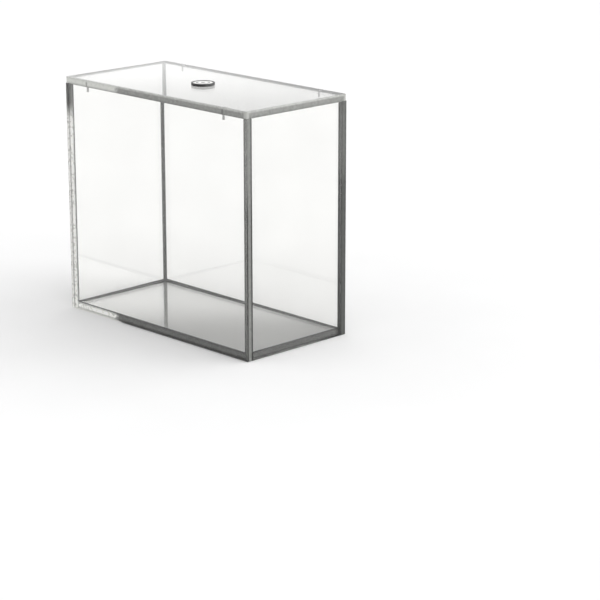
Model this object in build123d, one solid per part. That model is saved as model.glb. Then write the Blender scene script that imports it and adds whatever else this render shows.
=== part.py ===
from build123d import *
import os

# Clear acrylic display case with a flat lid that slides on the top edges of the walls
# and is held shut by small magnets.
#
# All sizes are in millimetres. The origin is the middle of the footprint, on the
# surface that the case stands on. X runs along the long side, the front is at -Y
# and Z points up.

# Outside of the closed case, without the badge on the lid
case_length = 202.0
case_depth = 101.0
case_height = 184.0

# Acrylic sheet
wall_thickness = 5.0
floor_thickness = 5.0
lid_thickness = 5.0

# Finish of the sheet's cut edges
edge_chamfer = 0.3
lid_corner_radius = 1.5

# Cylinder magnets in the long walls and in the lid above them
magnet_diameter = 2.0
magnet_length = 4.0
magnet_end_inset = 25.0
magnet_chamfer = 0.15
magnet_sink = 0.1
pocket_clearance = 0.05

# Round badge on the middle of the lid
badge_diameter = 18.0
badge_height = 2.0
badge_rim_width = 1.4
badge_recess_depth = 0.8
badge_edge_fillet = 0.3
inlay_clearance = 0.05
inlay_edge_chamfer = 0.1
inlay_sink = 0.1

# Places that follow from the sizes above
wall_height = case_height - lid_thickness
inner_length = case_length - 2 * wall_thickness
inner_depth = case_depth - 2 * wall_thickness
long_wall_y = (case_depth - wall_thickness) / 2
short_wall_x = (case_length - wall_thickness) / 2
magnet_x = case_length / 2 - magnet_end_inset
magnet_y = long_wall_y
pocket_radius = magnet_diameter / 2 + pocket_clearance
pocket_depth = magnet_length + magnet_sink

SIDES_X = {"left": -1, "right": 1}
SIDES_Y = {"front": -1, "back": 1}


def sheet(length, depth, height, x=0.0, y=0.0, base=0.0):
    """A rectangular piece cut from sheet, standing on height base over (x, y)."""
    blank = Box(length, depth, height, align=(Align.CENTER, Align.CENTER, Align.MIN))
    return Pos(x, y, base) * blank


def upright_edges(part, x_sign, y_sign):
    """The upright edges of a piece at the corners that look towards the given sides."""
    middle = part.bounding_box().center()
    return ShapeList(
        e for e in part.edges().filter_by(Axis.Z)
        if (e.center().X - middle.X) * x_sign > 0 and (e.center().Y - middle.Y) * y_sign > 0
    )


def pocket(x, y, mouth, up):
    """A blind hole for one magnet, open at height mouth. up is 1 where it opens upwards."""
    hole = Cylinder(pocket_radius, pocket_depth, align=(Align.CENTER, Align.CENTER, Align.MAX))
    if up < 0:
        hole = Rot(180, 0, 0) * hole
    return Pos(x, y, mouth) * hole


def magnet(x, y, mouth, up):
    """One cylinder magnet at the bottom of its pocket, a little below the mouth."""
    body = Cylinder(magnet_diameter / 2, magnet_length, align=(Align.CENTER, Align.CENTER, Align.MAX))
    body = chamfer(body.edges().filter_by(GeomType.CIRCLE), magnet_chamfer)
    body = Pos(0, 0, -magnet_sink) * body
    if up < 0:
        body = Rot(180, 0, 0) * body
    return Pos(x, y, mouth) * body


def floor_panel():
    """The floor, cemented in between the feet of the four walls."""
    return sheet(inner_length, inner_depth, floor_thickness)


def long_wall(side):
    """The front or back panel: full length, covers the ends of the short walls."""
    wall = sheet(case_length, wall_thickness, wall_height, y=side * long_wall_y)
    outer = upright_edges(wall, 1, side) + upright_edges(wall, -1, side)
    foot = wall.edges().group_by(Axis.Z)[0].sort_by(Axis.Y)[0 if side < 0 else -1]
    wall = chamfer(outer + [foot], edge_chamfer)
    for end in SIDES_X.values():
        wall -= pocket(end * magnet_x, side * magnet_y, wall_height, up=1)
    return wall


def short_wall(side):
    """The left or right panel: cemented in between the two long walls."""
    wall = sheet(wall_thickness, inner_depth, wall_height, x=side * short_wall_x)
    foot = wall.edges().group_by(Axis.Z)[0].sort_by(Axis.X)[0 if side < 0 else -1]
    return chamfer(foot, edge_chamfer)


def lid_panel():
    """The lid: a flat sheet as large as the case, with four magnet pockets below."""
    lid = sheet(case_length, case_depth, lid_thickness, base=wall_height)
    lid = fillet(lid.edges().filter_by(Axis.Z), lid_corner_radius)
    rims = lid.edges().group_by(Axis.Z)
    lid = chamfer(rims[0] + rims[-1], edge_chamfer)
    for side in SIDES_Y.values():
        for end in SIDES_X.values():
            lid -= pocket(end * magnet_x, side * magnet_y, wall_height, up=-1)
    return lid


def badge_base():
    """The badge's round body: a plain disc with a raised rim round a shallow recess."""
    disc = Cylinder(badge_diameter / 2, badge_height, align=(Align.CENTER, Align.CENTER, Align.MIN))
    recess_radius = badge_diameter / 2 - badge_rim_width
    recess = Cylinder(recess_radius, badge_recess_depth, align=(Align.CENTER, Align.CENTER, Align.MAX))
    disc -= Pos(0, 0, badge_height) * recess
    outer_rim = disc.edges().filter_by(GeomType.CIRCLE).group_by(Axis.Z)[-1].sort_by(SortBy.RADIUS)[-1]
    disc = fillet(outer_rim, badge_edge_fillet)
    return Pos(0, 0, case_height) * disc


def badge_inlay():
    """The thin pale disc that lies in the badge's recess."""
    inlay_radius = badge_diameter / 2 - badge_rim_width - inlay_clearance
    inlay_height = badge_recess_depth - inlay_sink
    inlay = Cylinder(inlay_radius, inlay_height, align=(Align.CENTER, Align.CENTER, Align.MIN))
    inlay = chamfer(inlay.edges().filter_by(GeomType.CIRCLE).group_by(Axis.Z)[-1], inlay_edge_chamfer)
    return Pos(0, 0, case_height + badge_height - badge_recess_depth) * inlay


def magnets():
    """Four pairs of magnets that face each other across the joint below the lid."""
    found = {}
    for end_name, end in SIDES_X.items():
        for side_name, side in SIDES_Y.items():
            x = end * magnet_x
            y = side * magnet_y
            found[f"wall_magnet_{side_name}_{end_name}"] = magnet(x, y, wall_height, up=1)
            found[f"lid_magnet_{side_name}_{end_name}"] = magnet(x, y, wall_height, up=-1)
    return found


pieces = {
    "floor_panel": floor_panel(),
    "front_panel": long_wall(SIDES_Y["front"]),
    "back_panel": long_wall(SIDES_Y["back"]),
    "left_panel": short_wall(SIDES_X["left"]),
    "right_panel": short_wall(SIDES_X["right"]),
    "lid_panel": lid_panel(),
    "badge_base": badge_base(),
    "badge_inlay": badge_inlay(),
    **magnets(),
}

os.makedirs("parts", exist_ok=True)
for name, piece in pieces.items():
    export_step(piece, f"parts/{name}.step")
    print(f"{name}: {piece.volume:.1f} mm3")
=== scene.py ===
# %% [markdown]
# # A clear acrylic display case
#
# The case is six flat sheets of 5 mm acrylic. Four walls and a floor are cemented into a box, and a lid lies
# loose on top, held by small magnets. Clear sheet is hard to see. What the eye reads is its cut edges, which
# look grey, and the faint grey that a polished face adds where it is looked through at a shallow angle. So
# most of this lesson is about edges.
#
# The imported model is loaded first. It fixes where every piece is, and nothing here moves it. Its box is kept.

# %% Load the frame
import math
import bmesh
import bpy
import numpy as np
from mathutils import Matrix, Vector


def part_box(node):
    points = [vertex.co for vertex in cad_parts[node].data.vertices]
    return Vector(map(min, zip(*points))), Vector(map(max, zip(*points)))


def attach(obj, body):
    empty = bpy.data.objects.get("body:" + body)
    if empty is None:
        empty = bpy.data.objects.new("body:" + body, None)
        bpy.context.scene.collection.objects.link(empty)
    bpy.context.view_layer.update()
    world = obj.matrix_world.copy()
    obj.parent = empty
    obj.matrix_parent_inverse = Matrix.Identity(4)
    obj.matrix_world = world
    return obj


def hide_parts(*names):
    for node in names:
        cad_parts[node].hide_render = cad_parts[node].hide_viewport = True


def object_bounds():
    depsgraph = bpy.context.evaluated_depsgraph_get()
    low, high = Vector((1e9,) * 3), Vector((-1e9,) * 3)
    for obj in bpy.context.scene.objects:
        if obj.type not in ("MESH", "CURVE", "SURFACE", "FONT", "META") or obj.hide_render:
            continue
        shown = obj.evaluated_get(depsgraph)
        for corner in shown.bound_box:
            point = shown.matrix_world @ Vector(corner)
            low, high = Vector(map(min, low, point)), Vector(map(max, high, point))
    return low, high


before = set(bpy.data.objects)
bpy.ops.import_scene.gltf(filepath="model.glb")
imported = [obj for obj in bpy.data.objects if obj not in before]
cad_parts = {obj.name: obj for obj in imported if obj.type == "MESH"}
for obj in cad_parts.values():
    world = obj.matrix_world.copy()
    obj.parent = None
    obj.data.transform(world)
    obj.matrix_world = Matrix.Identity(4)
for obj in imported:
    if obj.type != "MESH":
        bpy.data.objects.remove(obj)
cad_low, cad_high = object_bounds()
MM = 0.001
print("CAD box in mm:", [round((h - l) / MM, 2) for l, h in zip(cad_low, cad_high)])

# %% [markdown]
# Paint and plastic colours are easiest to think of as sRGB hex, the way a colour picker shows them. Shaders
# work in linear light, so one function turns hex into linear values, and every colour below goes through it.

# %% Colours
def linear(hex_colour):
    """Channel c from 0 to 1 becomes c / 12.92 up to 0.04045, else ((c + 0.055) / 1.055) to the power 2.4."""
    channels = np.array([int(hex_colour[i:i + 2], 16) for i in (1, 3, 5)]) / 255
    low = channels / 12.92
    high = ((channels + 0.055) / 1.055) ** 2.4
    return (*np.where(channels <= 0.04045, low, high).tolist(), 1.0)


print("Mid grey #808080 in linear light:", round(linear("#808080")[0], 3))

# %% [markdown]
# A material is a small tree of nodes. One helper adds any node, sets its properties and inputs and links what
# feeds it, so each material below reads as a list from the coordinates to the shader. It hands on the output
# that the next node needs. A colour ramp has its stops as well, so the helper takes those too.

# %% One helper for nodes
def add(tree, kind, values=None, links=None, stops=None, out=None, **settings):
    """
    Adds a node and gives back its output named out, or else the node. settings are its properties, values
    its inputs, links the sockets that feed it, and stops the places and hex colours of a ramp.
    """
    node = tree.nodes.new(kind)
    for key, value in settings.items():
        setattr(node, key, value)
    for key, value in (values or {}).items():
        node.inputs[key].default_value = value
    for key, socket in (links or {}).items():
        tree.links.new(socket, node.inputs[key])
    if stops:
        elements = node.color_ramp.elements
        while len(elements) < len(stops):
            elements.new(1.0)
        for element, (place, hex_colour) in zip(elements, stops):
            element.position = place
            element.color = linear(hex_colour)
    return node.outputs[out] if out else node


def new_material(name):
    """A material with an empty node tree, and that tree."""
    material = bpy.data.materials.new(name)
    material.use_nodes = True
    material.node_tree.nodes.clear()
    return material, material.node_tree


print("Materials that came with the packed model:", len(bpy.data.materials))

# %% [markdown]
# ## Polished faces
#
# Cast acrylic sheet (PMMA) is poured between two plates of glass, so its faces are mirror smooth and stay
# that way under their protective film. It has an IOR of 1.49 and passes 92 % of the light, nearly all of the
# loss being reflection. What gives it away as plastic is a very slight waviness, a few hundredths of a
# degree, which makes reflections swim a little. That is a bump from a noise about 45 mm across. A faint
# cloudiness of the same size in the tint keeps large faces from looking like nothing at all. A noise's
# values lie mostly between 0.3 and 0.7, so that is where this ramp and the later ones start and end.

# %% Material: polished cast acrylic
ACRYLIC_IOR = 1.49
FACE_WAVE = 45 * MM


def polished_cast_acrylic():
    """Clear, smooth and nearly colourless: a transmitting shader with a wavy normal and a hint of tint."""
    material, tree = new_material("polished_cast_acrylic")
    place = add(tree, "ShaderNodeTexCoord", out="Object")
    wave = add(tree, "ShaderNodeTexNoise", {"Scale": 1 / FACE_WAVE, "Detail": 1.0}, {"Vector": place},
               out="Fac")
    tint = add(tree, "ShaderNodeValToRGB", links={"Fac": wave}, out="Color",
               stops=[(0.3, "#FBFBFA"), (0.7, "#FDFDFC")])
    bump = add(tree, "ShaderNodeBump", {"Strength": 0.15, "Distance": 0.02 * MM}, {"Height": wave},
               out="Normal")
    shader = add(tree, "ShaderNodeBsdfPrincipled", {
        "Roughness": 0.0, "IOR": ACRYLIC_IOR, "Transmission Weight": 1.0,
    }, {"Base Color": tint, "Normal": bump}, out="BSDF")
    add(tree, "ShaderNodeOutputMaterial", links={"Surface": shader})
    return material


POLISHED = polished_cast_acrylic()
print("Made", POLISHED.name)

# %% [markdown]
# ## Cut edges
#
# The edges of the sheet are sawn, and then scraped or cemented. They scatter light, so an edge looks grey
# where the faces look like air. One recipe makes all of these finishes, with light and shade painted into
# them, in four steps. Each step is a function that adds its nodes and hands on their result.
#
# The steps share a few sockets. A UV map in metres follows the edge: U runs along it and V across the 5 mm of
# the sheet, from -2.5 to 2.5 mm, so V tells how near the two faces are. Everything else reads object
# coordinates, which carry on round the corners. A mottling about 2 mm wide is the grain that the saw, the
# scraper and the cement leave.

# %% What the steps of the recipe share
SHEET = 5 * MM
MOTTLE = 2.2 * MM
RIM_FROM, RIM_TO = 0.14 * SHEET, 0.42 * SHEET


def places_on_edge(tree):
    """Place p, its axes X, Y and Z, uv, v across the sheet, the mottling, and a rim that is 1 near a face."""
    coords = add(tree, "ShaderNodeTexCoord")
    place, uv = coords.outputs["Object"], coords.outputs["UV"]
    axes = add(tree, "ShaderNodeSeparateXYZ", links={"Vector": place})
    across = add(tree, "ShaderNodeSeparateXYZ", links={"Vector": uv}, out="Y")
    mottle = add(tree, "ShaderNodeTexNoise", {"Scale": 1 / MOTTLE, "Detail": 3.0, "Roughness": 0.6},
                 {"Vector": place}, out="Fac")
    from_middle = add(tree, "ShaderNodeMath", links={0: across}, operation="ABSOLUTE", out="Value")
    rim = add(tree, "ShaderNodeMapRange", {"From Min": RIM_FROM, "From Max": RIM_TO}, {"Value": from_middle},
              interpolation_type="SMOOTHSTEP", out="Result")
    return {"place": place, "uv": uv, "across": across, "mottle": mottle, "rim": rim,
            "X": axes.outputs["X"], "Y": axes.outputs["Y"], "Z": axes.outputs["Z"]}


print("The lines along the faces start", round(RIM_FROM / MM, 2), "mm from the middle of the edge")

# %% [markdown]
# Step one is the tone of the sawn edge. Its middle has one grey, and the lines along the two faces have
# others, a painted reflection of what the eye sees where it looks along the inside of the sheet. All of them
# turn to other, mostly darker greys in the lower part of the case, which is painted shade, and a broad noise
# makes the height wander at which they do.
#
# Cement fills the saw marks and makes an edge paler. In the joints of the short panels the tone is painted
# darker towards the back, as shade, and there less light passes.

# %% Step one: greys of the sawn edge, with painted reflection and shade
DRIFT = 60 * MM
UPPER_END, LOWER_START = 142 * MM, 118 * MM
SIDE_BLEND = 0.1 * SHEET
BACK_SHADE_FROM, BACK_SHADE_TO = 15 * MM, 35 * MM


def sawn_greys_and_painted_light(tree, at, core, lines, low_core, low_line):
    """
    Core and lines turn to low_core and low_line, painted shade, where z + DRIFT * (noise - 1/2) is low. lines,
    a painted reflection, has a tone for each face of the sheet, first the one where V is negative.
    """
    drift = add(tree, "ShaderNodeTexNoise", {"Scale": 1 / DRIFT, "Detail": 1.0}, {"Vector": at["place"]},
                out="Fac")
    wander = add(tree, "ShaderNodeMath", {1: DRIFT}, {0: drift, 2: at["Z"]}, operation="MULTIPLY_ADD",
                 out="Value")
    lower = add(tree, "ShaderNodeMapRange", {
        "From Min": UPPER_END + DRIFT / 2, "From Max": LOWER_START + DRIFT / 2,
    }, {"Value": wander}, interpolation_type="SMOOTHSTEP", out="Result")
    side = add(tree, "ShaderNodeMapRange", {"From Min": -SIDE_BLEND, "From Max": SIDE_BLEND},
               {"Value": at["across"]}, out="Result")
    middle = add(tree, "ShaderNodeMix", {"A": linear(core), "B": linear(low_core)}, {"Factor": lower},
                 data_type="RGBA", out="Result")
    high_line = add(tree, "ShaderNodeMix", {"A": linear(lines[0]), "B": linear(lines[1])}, {"Factor": side},
                    data_type="RGBA", out="Result")
    line = add(tree, "ShaderNodeMix", {"B": linear(low_line)}, {"Factor": lower, "A": high_line},
               data_type="RGBA", out="Result")
    tone = add(tree, "ShaderNodeMix", links={"Factor": at["rim"], "A": middle, "B": line}, data_type="RGBA",
               out="Result")
    return tone, lower


def painted_back_shade(tree, at, tone, lower, greys):
    """Painted shade: towards the back the tone turns to an upper and a lower darker grey."""
    back_shading = add(tree, "ShaderNodeMapRange", {"From Min": BACK_SHADE_FROM, "From Max": BACK_SHADE_TO}, {"Value": at["Y"]},
                  interpolation_type="SMOOTHSTEP", out="Result")
    grey = add(tree, "ShaderNodeMix", {"A": linear(greys[0]), "B": linear(greys[1])}, {"Factor": lower},
               data_type="RGBA", out="Result")
    tone = add(tree, "ShaderNodeMix", links={"Factor": back_shading, "A": tone, "B": grey}, data_type="RGBA",
               out="Result")
    return tone, back_shading


print("The greys change about", round((UPPER_END + LOWER_START) / 2 / MM), "mm above the floor")

# %% [markdown]
# Step two is painted light at the front left corner, where the edges catch the light. There the edge is pale,
# with small grey smudges in it. Distance from the corner decides where that is. It is stretched so that the
# painted light runs along the front and not along the end, and the mottling makes its end ragged. Height
# counts only at the top, where the painted light fades out.

# %% Step two: painted light at the front left corner
LIT_CORNER = (cad_low[0], cad_low[1], 0.0)
LIT_STRETCH = (1.0, 6.0, 0.0)
LIT_REACH = 70 * MM
LIT_FULLY = 0.9 * LIT_REACH
LIT_RAGGED = 6 * MOTTLE
LIT_TOP = 165 * MM
LIT_TOP_FADE = 3 * SHEET
RIM_SHARE = 0.6
SMUDGE_FROM, SMUDGE_TO = 0.52, 0.61
SMUDGE_SHARE = 0.7
SMUDGE_TONE = "#9C9D99"


def painted_light_corner(tree, at, tone, pale, top):
    """Painted light: where the stretched distance from the corner is under its reach and z under top, the tone is
    pale.
    """
    from_corner = add(tree, "ShaderNodeVectorMath", {1: LIT_CORNER}, {0: at["place"]},
                      operation="SUBTRACT", out="Vector")
    stretched = add(tree, "ShaderNodeVectorMath", {1: LIT_STRETCH}, {0: from_corner},
                    operation="MULTIPLY", out="Vector")
    reach = add(tree, "ShaderNodeVectorMath", links={0: stretched}, operation="LENGTH", out="Value")
    ragged = add(tree, "ShaderNodeMath", {1: LIT_RAGGED}, {0: at["mottle"], 2: reach},
                 operation="MULTIPLY_ADD", out="Value")
    near_corner = add(tree, "ShaderNodeMapRange", {"From Min": LIT_REACH, "From Max": LIT_FULLY},
                      {"Value": ragged}, interpolation_type="SMOOTHSTEP", out="Result")
    low_enough = add(tree, "ShaderNodeMapRange", {"From Min": top, "From Max": top - LIT_TOP_FADE},
                     {"Value": at["Z"]}, interpolation_type="SMOOTHSTEP", out="Result")
    lit = add(tree, "ShaderNodeMath", links={0: near_corner, 1: low_enough}, operation="MULTIPLY",
                 out="Value")
    share = add(tree, "ShaderNodeMapRange", {"To Min": 1.0, "To Max": RIM_SHARE}, {"Value": at["rim"]},
                out="Result")
    painted_light = add(tree, "ShaderNodeMath", links={0: lit, 1: share}, operation="MULTIPLY", out="Value")
    tone = add(tree, "ShaderNodeMix", {"B": linear(pale)}, {"Factor": painted_light, "A": tone}, data_type="RGBA",
               out="Result")
    smudge = add(tree, "ShaderNodeMapRange", {
        "From Min": SMUDGE_FROM, "From Max": SMUDGE_TO, "To Max": SMUDGE_SHARE,
    }, {"Value": at["mottle"]}, interpolation_type="SMOOTHSTEP", out="Result")
    smudged = add(tree, "ShaderNodeMath", links={0: smudge, 1: lit}, operation="MULTIPLY", out="Value")
    tone = add(tree, "ShaderNodeMix", {"B": linear(SMUDGE_TONE)}, {"Factor": smudged, "A": tone},
               data_type="RGBA", out="Result")
    return tone, lit, painted_light


print("The buffed corner ends", round((LIT_REACH - LIT_RAGGED / 2) / MM, 1), "mm along the front")

# %% [markdown]
# Step three is for the lid alone. Its rounded corners get a painted highlight, a paler tone where they catch
# the light. And a magnet right behind a milky edge takes its light away, so it shows as a soft dark mark round
# the magnet's middle.
# The marks are alike at both ends and on both sides, so they go by the distance from the case's middle.

# %% Step three: the lid's corners and magnets
HIGHLIGHT_FROM, HIGHLIGHT_TO = 3.6 * MM, 1.8 * MM
MARK_FROM, MARK_TO = 1.25, 0.65
MARK_SHARE = 0.5
MARK_TONE = "#32332F"


def painted_corner_highlights(tree, at, tone, pale):
    """Painted highlight: the tone turns to pale where (|x|, |y|) is close to the corner of the case's box."""
    quarter = add(tree, "ShaderNodeVectorMath", links={0: at["place"]}, operation="ABSOLUTE", out="Vector")
    inward = add(tree, "ShaderNodeVectorMath", {1: (cad_high[0], cad_high[1], 0.0)}, {0: quarter},
                 operation="SUBTRACT", out="Vector")
    level = add(tree, "ShaderNodeVectorMath", {1: (1.0, 1.0, 0.0)}, {0: inward}, operation="MULTIPLY",
                out="Vector")
    gap = add(tree, "ShaderNodeVectorMath", links={0: level}, operation="LENGTH", out="Value")
    turned = add(tree, "ShaderNodeMapRange", {"From Min": HIGHLIGHT_FROM, "From Max": HIGHLIGHT_TO},
                 {"Value": gap}, interpolation_type="SMOOTHSTEP", out="Result")
    return add(tree, "ShaderNodeMix", {"B": linear(pale)}, {"Factor": turned, "A": tone}, data_type="RGBA",
               out="Result")


def magnet_marks(tree, at, tone, magnet):
    """
    The tone darkens where the length of ((|x| - c_x) / r_x, (z - c_z) / r_z) falls from MARK_FROM to MARK_TO.
    c is the magnet's middle, and r is half its size.
    """
    magnet_low, magnet_high = np.array(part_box(magnet))
    centre, half = (magnet_low + magnet_high) / 2, (magnet_high - magnet_low) / 2
    either_end = add(tree, "ShaderNodeMath", links={0: at["X"]}, operation="ABSOLUTE", out="Value")
    seen = add(tree, "ShaderNodeCombineXYZ", links={"X": either_end, "Z": at["Z"]}, out="Vector")
    away = add(tree, "ShaderNodeVectorMath", {1: (abs(centre[0]), 0.0, centre[2])}, {0: seen},
               operation="SUBTRACT", out="Vector")
    radii = add(tree, "ShaderNodeVectorMath", {1: (1 / half[0], 0.0, 1 / half[2])}, {0: away},
                operation="MULTIPLY", out="Vector")
    radius = add(tree, "ShaderNodeVectorMath", links={0: radii}, operation="LENGTH", out="Value")
    mark = add(tree, "ShaderNodeMapRange", {
        "From Min": MARK_FROM, "From Max": MARK_TO, "To Max": MARK_SHARE,
    }, {"Value": radius}, interpolation_type="SMOOTHSTEP", out="Result")
    return add(tree, "ShaderNodeMix", {"B": linear(MARK_TONE)}, {"Factor": mark, "A": tone}, data_type="RGBA",
               out="Result")


print("A rounded corner is paler within", round(HIGHLIGHT_FROM / MM, 1), "mm")

# %% [markdown]
# Step four is the shader. A milky edge lets a share of the light pass. The saw marks are a bump from the UV
# map, stretched across the sheet. They are about 0.4 mm apart on a real edge, and are drawn 0.9 mm apart so
# that they show.
#
# A sheet of clear plastic pipes light to its edges and lets it out there, which few of a path tracer's rays
# find. So the painted light at the front left corner also gives off a little light of its own, a painted glow,
# though the edge is no lamp.

# %% Step four: the shader of an edge
SAW_MARK = 0.9 * MM
SAW_STRETCH = 0.12
MOTTLE_DARK, MOTTLE_LIGHT = 0.8, 1.22
# The painted light at the front left corner passes less light and gives a painted glow.
LIT_THROUGH = 0.06
PAINTED_GLOW = 0.42
BACK_SHADE_THROUGH = 0.02


def cut_edge(name, core, lines, low_core, low_line, pale, through, top=LIT_TOP, back_shade=None, corner_highlight=None,
             magnet=None):
    """
    Steps one to three, with the sawn greys and their painted light and shade times the mottling, on a shader
    that lets the share through pass. pale is the tone of the painted light at the front left corner and top
    its upper end. The next argument is for painted shade towards the back of joints, the last two for the
    lid's painted corner highlight and magnet marks.
    """
    material, tree = new_material(name)
    at = places_on_edge(tree)
    tone, lower = sawn_greys_and_painted_light(tree, at, core, lines, low_core, low_line)
    # Painted shade towards the back of the joints.
    if back_shade:
        tone, back_shading = painted_back_shade(tree, at, tone, lower, back_shade)
    vary = add(tree, "ShaderNodeMapRange", {
        "From Min": 0.3, "From Max": 0.7, "To Min": MOTTLE_DARK, "To Max": MOTTLE_LIGHT,
    }, {"Value": at["mottle"]}, out="Result")
    tone = add(tree, "ShaderNodeVectorMath", links={0: tone, "Scale": vary}, operation="SCALE", out="Vector")
    tone, lit, painted_light = painted_light_corner(tree, at, tone, pale, top)
    # Painted highlight on the lid's rounded corners.
    if corner_highlight:
        tone = painted_corner_highlights(tree, at, tone, corner_highlight)
    if magnet:
        tone = magnet_marks(tree, at, tone, magnet)

    passed = add(tree, "ShaderNodeMapRange", {"To Min": through, "To Max": LIT_THROUGH}, {"Value": lit})
    # Where the shade is painted, less light passes.
    if back_shade:
        blocked = add(tree, "ShaderNodeMapRange", {"To Min": through, "To Max": BACK_SHADE_THROUGH},
                      {"Value": back_shading}, out="Result")
        tree.links.new(blocked, passed.inputs["To Min"])
    lengthwise = add(tree, "ShaderNodeMapping", {"Scale": (1 / SAW_MARK, SAW_STRETCH / SAW_MARK, 1.0)},
                     {"Vector": at["uv"]}, out="Vector")
    saw_marks = add(tree, "ShaderNodeTexNoise", {"Scale": 1.0, "Detail": 2.0}, {"Vector": lengthwise},
                    out="Fac")
    bump = add(tree, "ShaderNodeBump", {"Strength": 0.35, "Distance": 0.05 * MM}, {"Height": saw_marks},
               out="Normal")
    blur = add(tree, "ShaderNodeMapRange", {"To Min": 0.16, "To Max": 0.24}, {"Value": at["mottle"]},
               out="Result")
    # A painted glow where the painted light lies, though the edge is no lamp.
    glow = add(tree, "ShaderNodeMapRange", {"To Max": PAINTED_GLOW}, {"Value": painted_light}, out="Result")
    shader = add(tree, "ShaderNodeBsdfPrincipled", {"IOR": ACRYLIC_IOR}, {
        "Base Color": tone,
        "Roughness": blur,
        "Transmission Weight": passed.outputs["Result"],
        "Normal": bump,
        "Emission Color": tone,
        "Emission Strength": glow,
    }, out="BSDF")
    add(tree, "ShaderNodeOutputMaterial", links={"Surface": shader})
    return material


print("Saw marks are drawn", round(SAW_MARK / MM, 1), "mm apart")

# %% [markdown]
# Now the recipe makes the five finishes. Each edge is worked only as far as it needs to be:
#
# - the lid is scraped all round, with weaker painted light at its front left corner, and has a pale line
#   along its upper rim that is painted reflection,
# - the front panel is left as sawn, and the back panel's edges are painted darker, as shade,
# - the floor and the two short panels are cemented in.

# %% Materials: the five finishes of the edges
# In these calls lines are painted reflection, the low greys painted shade, and pale the painted light at the
# front left corner.
LID_EDGE = cut_edge(
    "scraped_acrylic_edge", core="#868784", lines=("#7E7F7C", "#B0B1AD"), low_core="#868784",
    low_line="#7E7F7C", pale="#ACADA9", through=0.1, top=cad_high[2] + LIT_TOP_FADE, corner_highlight="#AAABA7",
    magnet="lid_magnet_front_left")
FRONT_EDGE = cut_edge(
    "sawn_acrylic_edge", core="#7E7F7C", lines=("#747572", "#4A4B49"), low_core="#7A7B78",
    low_line="#2C2D2B", pale="#EFEFEC", through=0.12)
# The back panel's edge greys are darker, painted shade.
BACK_EDGE = cut_edge(
    "shaded_back_acrylic_edge", core="#5C5D5A", lines=("#4E4F4D", "#4A4B49"), low_core="#454644",
    low_line="#363735", pale="#F2F2F0", through=0.04)
FLOOR_EDGE = cut_edge(
    "cemented_floor_edge", core="#666765", lines=("#4A4B49", "#4A4B49"), low_core="#666765",
    low_line="#4A4B49", pale="#F2F2F0", through=0.08)
# The joints' last pair of greys is painted shade towards the back.
JOINT_EDGE = cut_edge(
    "cemented_acrylic_joint", core="#ACADA9", lines=("#8C8D8A", "#8C8D8A"), low_core="#A2A39F",
    low_line="#363735", pale="#F2F2F0", through=0.26, back_shade=("#7A7B78", "#30312F"))
EDGES = [LID_EDGE, FRONT_EDGE, BACK_EDGE, FLOOR_EDGE, JOINT_EDGE]
print("Made", ", ".join(edge.name for edge in EDGES))

# %% [markdown]
# The magnets sit in drilled holes. A drill leaves acrylic evenly frosted, which is much lighter than a
# sawn edge and nearly hides what is in the hole, so the pockets have a material of their own. Its grain is
# the pitch of the drill's marks.

# %% Material: drilled acrylic
DRILL_MARK = 0.3 * MM


def drilled_acrylic():
    """A pale frosted surface that passes some light, blurred unevenly by the drill's marks."""
    material, tree = new_material("drilled_acrylic")
    place = add(tree, "ShaderNodeTexCoord", out="Object")
    marks = add(tree, "ShaderNodeTexNoise", {"Scale": 1 / DRILL_MARK, "Detail": 1.0}, {"Vector": place},
                out="Fac")
    frost = add(tree, "ShaderNodeValToRGB", links={"Fac": marks}, out="Color",
                stops=[(0.3, "#F4F4F2"), (0.7, "#FCFCFA")])
    blur = add(tree, "ShaderNodeMapRange", {"To Min": 0.2, "To Max": 0.35}, {"Value": marks}, out="Result")
    shader = add(tree, "ShaderNodeBsdfPrincipled", {"IOR": ACRYLIC_IOR, "Transmission Weight": 0.2},
                 {"Base Color": frost, "Roughness": blur}, out="BSDF")
    add(tree, "ShaderNodeOutputMaterial", links={"Surface": shader})
    return material


DRILLED = drilled_acrylic()
print("Made", DRILLED.name)

# %% [markdown]
# ## From arrays to a mesh
#
# Every solid of this case can be described as a stack of closed outlines: a sheet is one rounded rectangle
# carried through its thickness, and the badge is a circle that changes radius as it rises. Numpy works out
# the whole stack at once, and one function joins neighbouring outlines with quads and closes both ends.

# %% Stack of outlines
X, Y, Z = 0, 1, 2


def upright_rows(plan, heights):
    """Row i is the flat outline plan at height z_i."""
    return np.stack([np.column_stack([plan, np.full(len(plan), z)]) for z in heights])


def stack_faces(rows, points, start=0, ring=False):
    """
    Quad (i, j) joins points j and j + 1 of rows i and i + 1, counted on from start. Both end rows are closed
    with a face each, or in a ring the last row joins the first.
    """
    index = start + np.arange(rows * points).reshape(rows, points)
    here, there = (index, np.roll(index, -1, 0)) if ring else (index[:-1], index[1:])
    quads = np.stack([here, np.roll(here, -1, 1), np.roll(there, -1, 1), there], axis=-1).reshape(-1, 4)
    return quads.tolist(), [] if ring else [index[0][::-1].tolist(), index[-1].tolist()]


def mesh_object(name, points, faces, materials, slots=None):
    """Puts whole arrays of points, faces and material slots into one mesh, with its faces turned outwards."""
    mesh = bpy.data.meshes.new(name)
    mesh.from_pydata(points.tolist(), [], faces)
    for material in materials:
        mesh.materials.append(material)
    mesh.polygons.foreach_set("material_index", np.asarray(slots or [0] * len(faces), np.int32))
    mesh.update()
    shell = bmesh.new()
    shell.from_mesh(mesh)
    bmesh.ops.recalc_face_normals(shell, faces=shell.faces)
    shell.to_mesh(mesh)
    shell.free()
    piece = bpy.data.objects.new(name, mesh)
    bpy.context.scene.collection.objects.link(piece)
    return piece


print("Two rows of 4 points make", len(stack_faces(2, 4)[0]), "quads and", len(stack_faces(2, 4)[1]), "ends")

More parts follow.
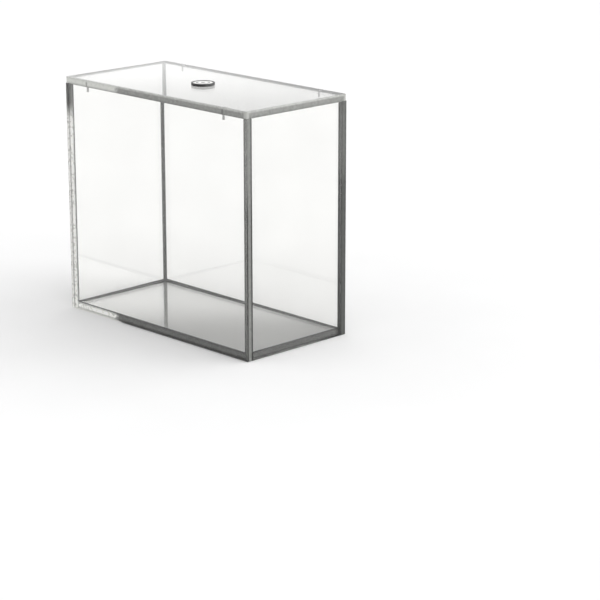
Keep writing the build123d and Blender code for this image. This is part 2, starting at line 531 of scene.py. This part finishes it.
# %% [markdown]
# ## The sheets
#
# A sheet could be a cube with a Bevel modifier, but then its edges and faces can't be told apart by formula.
# Here a rounded rectangle is carried through the thickness, and drawn in by a quarter circle at both faces.
# That quarter circle is the scraped arris: it is only 0.2 mm, but it catches the light along every edge of
# the case. The place on the outline and the angle of the arris are the surface's two parameters.

# %% The surface of a sheet
ARRIS = 0.2 * MM
ARRIS_STEPS = 5
CORNER_STEPS = 7


def rounded_rectangle(half_u, half_v, radius):
    """Each quarter is an arc about (+-(half_u - radius), +-(half_v - radius)), turning by 90 degrees."""
    turn = np.linspace(0, math.pi / 2, CORNER_STEPS)
    quarter = np.repeat(np.arange(4), CORNER_STEPS)
    angle = np.tile(turn, 4) + quarter * math.pi / 2
    side_u = np.array([1, -1, -1, 1])[quarter]
    side_v = np.array([1, 1, -1, -1])[quarter]
    return np.stack([
        side_u * (half_u - radius) + radius * np.cos(angle),
        side_v * (half_v - radius) + radius * np.sin(angle),
    ], axis=-1)


def sheet_stack(low, high, thin, corner):
    """At angle a the outline shrinks by ARRIS * (1 - cos a) and lies ARRIS * (1 - sin a) below the face."""
    half = (high - low) / 2
    u, v = (thin + 1) % 3, (thin + 2) % 3
    bend = np.linspace(0, math.pi / 2, ARRIS_STEPS)
    inset = ARRIS * (1 - np.cos(bend))
    height = half[thin] - ARRIS * (1 - np.sin(bend))
    insets = np.concatenate([inset[::-1], inset])
    heights = np.concatenate([-height[::-1], height])
    outlines = np.stack([rounded_rectangle(half[u] - s, half[v] - s, corner - s) for s in insets])
    rows = np.empty((*outlines.shape[:2], 3))
    rows[..., u] = outlines[..., 0]
    rows[..., v] = outlines[..., 1]
    rows[..., thin] = heights[:, None]
    return rows + (low + high) / 2


print("A sheet is", 2 * ARRIS_STEPS, "outlines of", 4 * CORNER_STEPS, "points")

# %% [markdown]
# ## Magnet pockets
#
# The magnets sit in blind holes, drilled into the top edges of the long walls and into the lid's underside.
# The face that is drilled is left out of the stack, and each hole is a short tube with a bottom. What is
# still open then is the rim of the missing face and the mouths of the holes, so the open edges are exactly
# those of a face with holes in it, and one fill closes it. A Boolean would do the same, but leaves slivers.

# %% Drilled pockets
POCKET_SIDES = 32
POCKET_CLEARANCE = 0.05 * MM
SAME_HEIGHT = 1e-7
FACE, EDGE, POCKET = 0, 1, 2


def pocket_tube(magnet, mouth):
    """Circles centre + r * (cos a, sin a) round the magnet, at height mouth and at the magnet's far end."""
    low, high = np.array(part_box(magnet))
    radius = (high[X] - low[X]) / 2 + POCKET_CLEARANCE
    angle = np.arange(POCKET_SIDES) * 2 * math.pi / POCKET_SIDES
    circle = np.stack([np.cos(angle), np.sin(angle)], axis=-1) * radius + (low + high)[:2] / 2
    return upright_rows(circle, (mouth, low[Z] if mouth > high[Z] else high[Z]))


def drill(points, faces, slots, magnets, mouth):
    """
    Leaves out the widest face at height mouth, and adds a tube with a bottom for each magnet. Gives back all
    points, and the slot of the face that was left out.
    """
    centres = np.array([points[face].mean(axis=0) for face in faces])
    spans = np.array([np.ptp(points[face], axis=0).max() for face in faces])
    drilled = int(np.argmax(np.where(np.abs(centres[:, Z] - mouth) < SAME_HEIGHT, spans, 0)))
    faces.pop(drilled)
    drilled_slot = slots.pop(drilled)
    for magnet in magnets:
        tube = pocket_tube(magnet, mouth)
        walls, (_, bottom) = stack_faces(*tube.shape[:2], start=len(points))
        faces += walls + [bottom]
        slots += [POCKET] * (len(walls) + 1)
        points = np.concatenate([points, tube.reshape(-1, 3)])
    return points, drilled_slot


def close_open_edges(piece, slot):
    """Fills between all edges with one face only, in the given slot, and counts the edges that stay open."""
    shell = bmesh.new()
    shell.from_mesh(piece.data)
    rims = [edge for edge in shell.edges if edge.is_boundary]
    filled = bmesh.ops.triangle_fill(shell, edges=rims, use_beauty=True)["geom"]
    for face in filled:
        if isinstance(face, bmesh.types.BMFace):
            face.material_index = slot
    bmesh.ops.recalc_face_normals(shell, faces=shell.faces)
    open_edges = sum(edge.is_boundary for edge in shell.edges)
    shell.to_mesh(piece.data)
    shell.free()
    return open_edges


print("A pocket has", POCKET_SIDES, "sides and is", round(POCKET_CLEARANCE / MM, 2), "mm wider all round")

# %% [markdown]
# Each sheet takes its place from its own node's box. Two polished faces and the cut edge round them use two
# material slots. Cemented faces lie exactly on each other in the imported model, and a path tracer can't tell
# which of two coincident surfaces it meets first. So the piece that is let in between others is made 0.03 mm
# smaller on each side, about the thickness of a real cement joint.

# %% Make the six sheets
CEMENT = 0.03 * MM
WALL_CORNER = 0.3 * MM
LID_CORNER = 1.5 * MM


def edge_uv(piece, thin):
    """U is the sum of the two coordinates in the sheet's plane, V the distance from its middle plane."""
    mesh = piece.data
    points = np.empty(len(mesh.vertices) * 3)
    mesh.vertices.foreach_get("co", points)
    points = points.reshape(-1, 3)
    corner_point = np.empty(len(mesh.loops), np.int32)
    mesh.loops.foreach_get("vertex_index", corner_point)
    middle = (points[:, thin].min() + points[:, thin].max()) / 2
    along = points[:, (thin + 1) % 3] + points[:, (thin + 2) % 3]
    uv = np.column_stack([along, points[:, thin] - middle])[corner_point]
    mesh.uv_layers.new(name="edge").uv.foreach_set("vector", uv.ravel())


def acrylic_sheet(node, thin, corner, body, edge, shrink=(0, 0, 0), lift=0.0, magnets=(), mouth_up=True):
    """One sheet in its node's box, drawn in by shrink on each side, with a pocket for each magnet named."""
    low, high = np.array(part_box(node)) + np.array([shrink, np.negative(shrink)])
    low[Z] += lift
    rows = sheet_stack(low, high, thin, corner)
    sides, ends = stack_faces(*rows.shape[:2])
    points, faces, slots = rows.reshape(-1, 3), sides + ends, [EDGE] * len(sides) + [FACE] * len(ends)
    materials = [POLISHED, edge]
    if magnets:
        points, drilled_slot = drill(points, faces, slots, magnets, high[Z] if mouth_up else low[Z])
        materials.append(DRILLED)
    piece = mesh_object("acrylic_" + node, points, faces, materials, slots)
    still_open = close_open_edges(piece, drilled_slot) if magnets else 0
    edge_uv(piece, thin)
    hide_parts(node)
    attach(piece, body)
    size = [round(float(s) / MM, 2) for s in high - low]
    print(piece.name, size, "mm,", len(piece.data.polygons), "faces,", still_open, "open edges")


ENDS, SIDES = ("left", "right"), ("front", "back")
WALL_MAGNETS = {side: [f"wall_magnet_{side}_{end}" for end in ENDS] for side in SIDES}
LID_MAGNETS = [f"lid_magnet_{side}_{end}" for side in SIDES for end in ENDS]

acrylic_sheet("floor_panel", Z, WALL_CORNER, "case", FLOOR_EDGE, shrink=(CEMENT, CEMENT, 0))
for end in ENDS:
    acrylic_sheet(f"{end}_panel", X, WALL_CORNER, "case", JOINT_EDGE, shrink=(0, CEMENT, 0))
for side, edge in (("front", FRONT_EDGE), ("back", BACK_EDGE)):
    acrylic_sheet(f"{side}_panel", Y, WALL_CORNER, "case", edge, magnets=WALL_MAGNETS[side])
acrylic_sheet("lid_panel", Z, LID_CORNER, "lid", LID_EDGE, lift=CEMENT, magnets=LID_MAGNETS, mouth_up=False)

# %% [markdown]
# ## Cement lines
#
# The joints are made with a thin solvent cement that runs along them by itself. Where two sheets meet at an
# inner corner it leaves a small hollow bead. Its curved surface bends light away from the eye, so each
# inner corner shows as a dark line. The beads are widest at the back left corner, as if the case had leaned
# on it to dry. Dried cement is the same plastic as the sheet, with fine bubbles that darken and blur it.

# %% Material: dried solvent cement
BUBBLES = 3 * MM


def dried_solvent_cement():
    """The same plastic, dried with fine bubbles: darker, a little blurred, and uneven along its length."""
    material, tree = new_material("dried_solvent_cement")
    place = add(tree, "ShaderNodeTexCoord", out="Object")
    bubbles = add(tree, "ShaderNodeTexNoise", {"Scale": 1 / BUBBLES, "Detail": 2.0}, {"Vector": place},
                  out="Fac")
    colour = add(tree, "ShaderNodeValToRGB", links={"Fac": bubbles}, out="Color",
                 stops=[(0.35, "#5C5D5B"), (0.65, "#737471")])
    blur = add(tree, "ShaderNodeMapRange", {"To Min": 0.05, "To Max": 0.25}, {"Value": bubbles}, out="Result")
    shader = add(tree, "ShaderNodeBsdfPrincipled", {"IOR": ACRYLIC_IOR, "Transmission Weight": 0.5},
                 {"Base Color": colour, "Roughness": blur}, out="BSDF")
    add(tree, "ShaderNodeOutputMaterial", links={"Surface": shader})
    return material


DRIED_CEMENT = dried_solvent_cement()
print("Made", DRIED_CEMENT.name)

# %% [markdown]
# A bead's section is a corner with a quarter circle cut out of it. It is carried up each of the four upright
# inner corners, and once round the floor, where it changes size from one corner to the next. The corners'
# places come from the boxes of the sheets around them.

# %% Make the cement beads
BEAD_CORNERS = np.array([[1, 1], [-1, 1], [-1, -1], [1, -1]])
BEAD_SIZES = np.array([0.8, 1.6, 0.9, 0.8]) * MM
BEAD_GAP = 0.02 * MM
BEAD_STEPS = 7


def bead_section(size):
    """Distances from the two faces: the corner itself, then the arc about (size, size) cut out of it."""
    turn = np.radians(np.linspace(270, 180, BEAD_STEPS))
    radius = size - BEAD_GAP
    hollow = np.column_stack([size + radius * np.cos(turn), size + radius * np.sin(turn)])
    return np.vstack([[BEAD_GAP, BEAD_GAP], hollow])


inner_low = np.array([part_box("left_panel")[1][X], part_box("front_panel")[1][Y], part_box("floor_panel")[1][Z]])
inner_high = np.array([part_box("right_panel")[0][X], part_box("back_panel")[0][Y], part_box("lid_panel")[0][Z]])
inner_centre = (inner_low + inner_high) / 2
inner_half = (inner_high - inner_low) / 2

bead_points, bead_faces = np.empty((0, 3)), []
for corner, size in zip(BEAD_CORNERS, BEAD_SIZES):
    plan = inner_centre[:2] + corner * (inner_half[:2] - bead_section(size))
    rows = upright_rows(plan, (inner_low[Z] + size / 2, inner_high[Z] - BEAD_GAP))
    walls, tips = stack_faces(*rows.shape[:2], start=len(bead_points))
    bead_faces += walls + tips
    bead_points = np.concatenate([bead_points, rows.reshape(-1, 3)])

sections = np.stack([bead_section(size) for size in BEAD_SIZES], axis=1)
rows = np.empty((*sections.shape[:2], 3))
rows[..., :Z] = inner_centre[:2] + BEAD_CORNERS * (inner_half[:2] - sections[..., :1])
rows[..., Z] = inner_low[Z] + sections[..., 1]
walls, _ = stack_faces(*rows.shape[:2], start=len(bead_points), ring=True)
bead_points = np.concatenate([bead_points, rows.reshape(-1, 3)])

beads = mesh_object("cement_beads", bead_points, bead_faces + walls, [DRIED_CEMENT])
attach(beads, "case")
print("Cement beads,", len(beads.data.polygons), "faces")

# %% [markdown]
# ## Magnets
#
# The magnets are neodymium cylinders, 2 mm across and 4 mm long, with a nickel plate. Nickel is a warm,
# slightly yellowish silver. Tumbled in a barrel before plating, the cylinders aren't mirror smooth, so the
# plate is softly blurred, with a roughness that varies over a few tenths of a millimetre. The packed
# cylinders already have their small chamfers, so they stay and only get the material.

# %% Material: nickel plate
PLATE_GRAIN = 0.4 * MM


def tumbled_nickel_plate():
    """A metal with a warm silver colour, blurred by a fine grain that also drives a small bump."""
    material, tree = new_material("tumbled_nickel_plate")
    place = add(tree, "ShaderNodeTexCoord", out="Object")
    grain = add(tree, "ShaderNodeTexNoise", {"Scale": 1 / PLATE_GRAIN, "Detail": 3.0}, {"Vector": place},
                out="Fac")
    colour = add(tree, "ShaderNodeValToRGB", links={"Fac": grain}, out="Color",
                 stops=[(0.3, "#D3D0CA"), (0.7, "#E6E4DF")])
    blur = add(tree, "ShaderNodeMapRange", {"To Min": 0.22, "To Max": 0.38}, {"Value": grain}, out="Result")
    bump = add(tree, "ShaderNodeBump", {"Strength": 0.2, "Distance": 0.01 * MM}, {"Height": grain},
               out="Normal")
    shader = add(tree, "ShaderNodeBsdfPrincipled", {"Metallic": 1.0},
                 {"Base Color": colour, "Roughness": blur, "Normal": bump}, out="BSDF")
    add(tree, "ShaderNodeOutputMaterial", links={"Surface": shader})
    return material


NICKEL = tumbled_nickel_plate()
magnet_nodes = [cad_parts[name] for name in LID_MAGNETS + WALL_MAGNETS["front"] + WALL_MAGNETS["back"]]
for magnet in magnet_nodes:
    magnet.data.materials.clear()
    magnet.data.materials.append(NICKEL)
print("Plated", len(magnet_nodes), "magnets")

# %% [markdown]
# ## The badge
#
# The badge is a turned shape, so it is a stack of circles: a profile of radius and height, carried once
# round. The black base has a rounded outer rim and a shallow recess, and the white disc in it is very
# slightly crowned, so that it catches a soft highlight. The badge is left plain but for one ring and one dot.

# %% Turned shapes
TURN_STEPS = 96
SHARP_ANGLE = math.radians(32)


def turned_piece(name, profile, material):
    """Point (i, j) is (r_i * cos a_j, r_i * sin a_j, z_i), for a profile of radius r and height z."""
    radius, height = np.array(profile).T
    angle = np.arange(TURN_STEPS) * 2 * math.pi / TURN_STEPS
    rows = np.empty((len(radius), TURN_STEPS, 3))
    rows[..., X] = radius[:, None] * np.cos(angle)
    rows[..., Y] = radius[:, None] * np.sin(angle)
    rows[..., Z] = height[:, None]
    walls, ends = stack_faces(*rows.shape[:2])
    piece = mesh_object(name, rows.reshape(-1, 3), walls + ends, [material])
    piece.data.polygons.foreach_set("use_smooth", np.ones(len(walls + ends), bool))
    piece.data.set_sharp_from_angle(angle=SHARP_ANGLE)
    return piece


def arc(centre, radius, start, end, steps=6):
    """Points centre + radius * (cos a, sin a), for a from start to end in degrees."""
    a = np.radians(np.linspace(start, end, steps))
    return np.column_stack([centre[0] + radius * np.cos(a), centre[1] + radius * np.sin(a)]).tolist()


print("A turned piece has", TURN_STEPS, "sides")

# %% [markdown]
# Both parts are injection moulded ABS. The base has the fine spark-eroded grain that moulds give, which
# blurs its reflections. The disc is glossier, and its ring and dot are a smooth print that depends only on
# the distance from the middle. Both patterns read object coordinates.

# %% Materials: moulded ABS
ABS_IOR = 1.53
MOULD_GRAIN = 0.25 * MM
RING_RADIUS = 4.7 * MM
RING_HALF_WIDTH = 0.5 * MM
DOT_RADIUS = 1.6 * MM
PRINT_BLEED = 0.04 * MM


def moulded_abs(name, dark, light, rough_low, rough_high, printed=None):
    """Fine grain in colour, roughness and bump. printed is the colour of a ring and a dot in the middle."""
    material, tree = new_material(name)
    place = add(tree, "ShaderNodeTexCoord", out="Object")
    grain = add(tree, "ShaderNodeTexNoise", {"Scale": 1 / MOULD_GRAIN, "Detail": 2.0}, {"Vector": place},
                out="Fac")
    colour = add(tree, "ShaderNodeValToRGB", links={"Fac": grain}, out="Color",
                 stops=[(0.3, dark), (0.7, light)])
    if printed:
        flat = add(tree, "ShaderNodeVectorMath", {1: (1, 1, 0)}, {0: place}, operation="MULTIPLY",
                   out="Vector")
        distance = add(tree, "ShaderNodeVectorMath", links={0: flat}, operation="LENGTH", out="Value")
        from_ring = add(tree, "ShaderNodeMath", {1: RING_RADIUS}, {0: distance}, operation="SUBTRACT",
                        out="Value")
        ring_gap = add(tree, "ShaderNodeMath", links={0: from_ring}, operation="ABSOLUTE", out="Value")
        ring = add(tree, "ShaderNodeMapRange", {
            "From Min": RING_HALF_WIDTH + PRINT_BLEED, "From Max": RING_HALF_WIDTH - PRINT_BLEED,
        }, {"Value": ring_gap}, out="Result")
        dot = add(tree, "ShaderNodeMapRange", {
            "From Min": DOT_RADIUS + PRINT_BLEED, "From Max": DOT_RADIUS - PRINT_BLEED,
        }, {"Value": distance}, out="Result")
        ink = add(tree, "ShaderNodeMath", links={0: ring, 1: dot}, operation="MAXIMUM", out="Value")
        colour = add(tree, "ShaderNodeMix", {"B": linear(printed)}, {"Factor": ink, "A": colour},
                     data_type="RGBA", out="Result")
    gloss = add(tree, "ShaderNodeMapRange", {"To Min": rough_low, "To Max": rough_high}, {"Value": grain},
                out="Result")
    bump = add(tree, "ShaderNodeBump", {"Strength": 0.3, "Distance": 0.01 * MM}, {"Height": grain},
               out="Normal")
    shader = add(tree, "ShaderNodeBsdfPrincipled", {"IOR": ABS_IOR},
                 {"Base Color": colour, "Roughness": gloss, "Normal": bump}, out="BSDF")
    add(tree, "ShaderNodeOutputMaterial", links={"Surface": shader})
    return material


BLACK_ABS = moulded_abs("grained_black_abs", "#121212", "#1E1E1E", 0.28, 0.42)
WHITE_ABS = moulded_abs("gloss_white_abs", "#E9E9E6", "#F2F2F0", 0.12, 0.2, printed="#191919")
print("Made", BLACK_ABS.name, "and", WHITE_ABS.name)

# %% [markdown]
# The two profiles run from the underside outwards, up and in again, and are given as radius and height. Their
# overall sizes come from the nodes' boxes. The base has a small chamfer at its foot and a fillet on both
# edges of the rim. The disc has a small chamfer below its crown, which is a parabola.

# %% Make the badge
RIM_WIDTH = 1.4 * MM
RECESS_DEPTH = 0.8 * MM
RIM_FILLET = 0.3 * MM
RIM_INNER_FILLET = 0.12 * MM
FOOT_CHAMFER = 0.15 * MM
INLAY_CHAMFER = 0.1 * MM
INLAY_CROWN = 0.12 * MM
CROWN_MIDDLE = 0.3 * MM
CROWN_STEPS = 10
SEAT = 0.02 * MM

base_low, base_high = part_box("badge_base")
outer = (base_high[X] - base_low[X]) / 2
foot, top = base_low[Z] + SEAT, base_high[Z]
inner = outer - RIM_WIDTH
base_profile = (
    [(outer - FOOT_CHAMFER, foot), (outer, foot + FOOT_CHAMFER)]
    + arc((outer - RIM_FILLET, top - RIM_FILLET), RIM_FILLET, 0, 90)
    + arc((inner + RIM_INNER_FILLET, top - RIM_INNER_FILLET), RIM_INNER_FILLET, 90, 180)
    + [(inner, top - RECESS_DEPTH)]
)
base = turned_piece("badge_body", base_profile, BLACK_ABS)
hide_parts("badge_base")
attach(base, "lid")

inlay_low, inlay_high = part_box("badge_inlay")
inlay_radius = (inlay_high[X] - inlay_low[X]) / 2
crown_radii = np.linspace(inlay_radius - INLAY_CHAMFER, CROWN_MIDDLE, CROWN_STEPS)
crown = inlay_high[Z] - INLAY_CROWN * (crown_radii / inlay_radius) ** 2
inlay_profile = [(inlay_radius, inlay_low[Z] + SEAT), (inlay_radius, crown[0] - INLAY_CHAMFER)]
inlay_profile += np.column_stack([crown_radii, crown]).tolist()
inlay = turned_piece("badge_disc", inlay_profile, WHITE_ABS)
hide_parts("badge_inlay")
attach(inlay, "lid")
print("Badge", round(2 * outer / MM, 2), "mm across")

# %% [markdown]
# ## Floor
#
# The case stands on a large plain white floor, which is also the background of the picture. The floor lies
# 0.2 mm lower than the case, because coincident faces would flicker.

# %% Studio floor
FLOOR_HALF = 12.0
FLOOR_DROP = 0.2 * MM
FLOOR_CLOUD = 100 * MM


def matt_white_paint():
    """A matt white, with a hint of unevenness a hand wide."""
    material, tree = new_material("matt_white_studio_floor")
    place = add(tree, "ShaderNodeTexCoord", out="Object")
    cloud = add(tree, "ShaderNodeTexNoise", {"Scale": 1 / FLOOR_CLOUD, "Detail": 1.0}, {"Vector": place},
                out="Fac")
    paint = add(tree, "ShaderNodeValToRGB", links={"Fac": cloud}, out="Color",
                stops=[(0.3, "#F3F3F3"), (0.7, "#F5F5F5")])
    shader = add(tree, "ShaderNodeBsdfPrincipled", {"Roughness": 0.9, "Specular IOR Level": 0.1},
                 {"Base Color": paint}, out="BSDF")
    add(tree, "ShaderNodeOutputMaterial", links={"Surface": shader})
    return material


floor_plan = np.array([[-1, -1], [1, -1], [1, 1], [-1, 1]]) * FLOOR_HALF
floor_points = np.column_stack([floor_plan, np.full(len(floor_plan), -FLOOR_DROP)])
stage = mesh_object("studio_floor", floor_points, [[0, 1, 2, 3]], [matt_white_paint()])
print("Floor", 2 * FLOOR_HALF, "m square")

# %% [markdown]
# ## Light
#
# Clear plastic shows only what it reflects and refracts, so the surroundings are its real material. They
# are a soft white tent, drawn by height alone: a bright low wall, a grey band, a bright strip, a grey upper
# wall and a paler roof. Each grey's place is the sine of its angle above the horizon.
#
# A shallow look at the lid mirrors the low wall at its far end and the grey band at its near end. The floor
# panel mirrors the strip at the back and the upper wall in front. That is what gives both of them their
# change of grey.
#
# A very wide soft light from the back right is added to the tent. It falls off with the square of the
# cosine away from its middle, and lays a soft shadow to the front left.

# %% Studio light
SIDE_LIGHT = (0.85, 0.53, 0.0)
TENT_LIGHT = 1.44
SIDE_STRENGTH = 3.16
TENT_GREYS = [
    (0.000, "#DEDEDE"),
    (0.156, "#FFFFFF"),
    (0.167, "#F2F2F2"),
    (0.178, "#D2D2D2"),
    (0.190, "#A9A9A9"),
    (0.240, "#DCDCDC"),
    (0.276, "#FFFFFF"),
    (0.287, "#B2B2B2"),
    (0.310, "#AEAEAE"),
    (0.600, "#C3C3C3"),
    (0.800, "#DADADA"),
]

world = bpy.data.worlds.new("studio_tent")
bpy.context.scene.world = world
world.use_nodes = True
sky = world.node_tree
sky.nodes.clear()
direction = add(sky, "ShaderNodeTexCoord", out="Generated")
height = add(sky, "ShaderNodeSeparateXYZ", links={"Vector": direction}, out="Z")
tent = add(sky, "ShaderNodeValToRGB", links={"Fac": height}, stops=TENT_GREYS, out="Color")
side = add(sky, "ShaderNodeVectorMath", {1: SIDE_LIGHT}, {0: direction}, operation="DOT_PRODUCT", out="Value")
facing = add(sky, "ShaderNodeMath", {1: 0.0}, {0: side}, operation="MAXIMUM", out="Value")
focus = add(sky, "ShaderNodeMath", {1: 2.0}, {0: facing}, operation="POWER", out="Value")
strength = add(sky, "ShaderNodeMapRange", {"To Min": TENT_LIGHT, "To Max": TENT_LIGHT + SIDE_STRENGTH},
               {"Value": focus}, out="Result")
glow = add(sky, "ShaderNodeBackground", links={"Color": tent, "Strength": strength}, out="Background")
add(sky, "ShaderNodeOutputWorld", links={"Surface": glow})
print("Tent with", len(TENT_GREYS), "greys from the horizon up")

# %% [markdown]
# The Standard view keeps the greys as they are given. A look through the case passes up to six sheets, and
# each has two faces, so the path tracer needs more bounces than usual.

# %% View and bounces
scene = bpy.context.scene
scene.view_settings.view_transform = "Standard"
scene.cycles.max_bounces = 32
scene.cycles.transmission_bounces = 32
scene.cycles.glossy_bounces = 16
print("Light paths of up to", scene.cycles.max_bounces, "bounces")

# %% [markdown]
# ## Camera
#
# The camera is given by its direction from the case (azimuth and elevation), by its roll, and by where the
# case's origin lies in the camera's own axes, in millimetres right, up and away. These come from lining up
# the case's long edges with the picture. The lens is given in pixels of the 600 pixel frame, which the
# sensor width turns into millimetres.

# %% Camera
FRAME_PX = 600
SENSOR_MM = 36.0
LENS_PX = 2168.14
AZIMUTH, ELEVATION, ROLL = np.radians([45.429, 15.946, 0.022])
ORIGIN_RIGHT, ORIGIN_UP, ORIGIN_AWAY = np.array([-72.717, -15.659, 1675.375]) * MM

back = np.array([
    math.sin(AZIMUTH) * math.cos(ELEVATION),
    -math.cos(AZIMUTH) * math.cos(ELEVATION),
    math.sin(ELEVATION),
])
level = np.cross(-back, (0, 0, 1))
level /= np.linalg.norm(level)
upright = np.cross(level, -back)
right = math.cos(ROLL) * level + math.sin(ROLL) * upright
up = math.cos(ROLL) * upright - math.sin(ROLL) * level
place = ORIGIN_AWAY * back - ORIGIN_RIGHT * right - ORIGIN_UP * up

lens = bpy.data.cameras.new("camera")
lens.sensor_width = SENSOR_MM
lens.lens = LENS_PX / FRAME_PX * SENSOR_MM
camera = bpy.data.objects.new("camera", lens)
bpy.context.scene.collection.objects.link(camera)
turned = np.stack([right, up, back], axis=1)
camera.matrix_world = Matrix([(*row, p) for row, p in zip(turned, place)] + [(0, 0, 0, 1)])
bpy.context.scene.camera = camera
print("Lens", round(lens.lens, 1), "mm, camera at", [round(float(p), 3) for p in place])
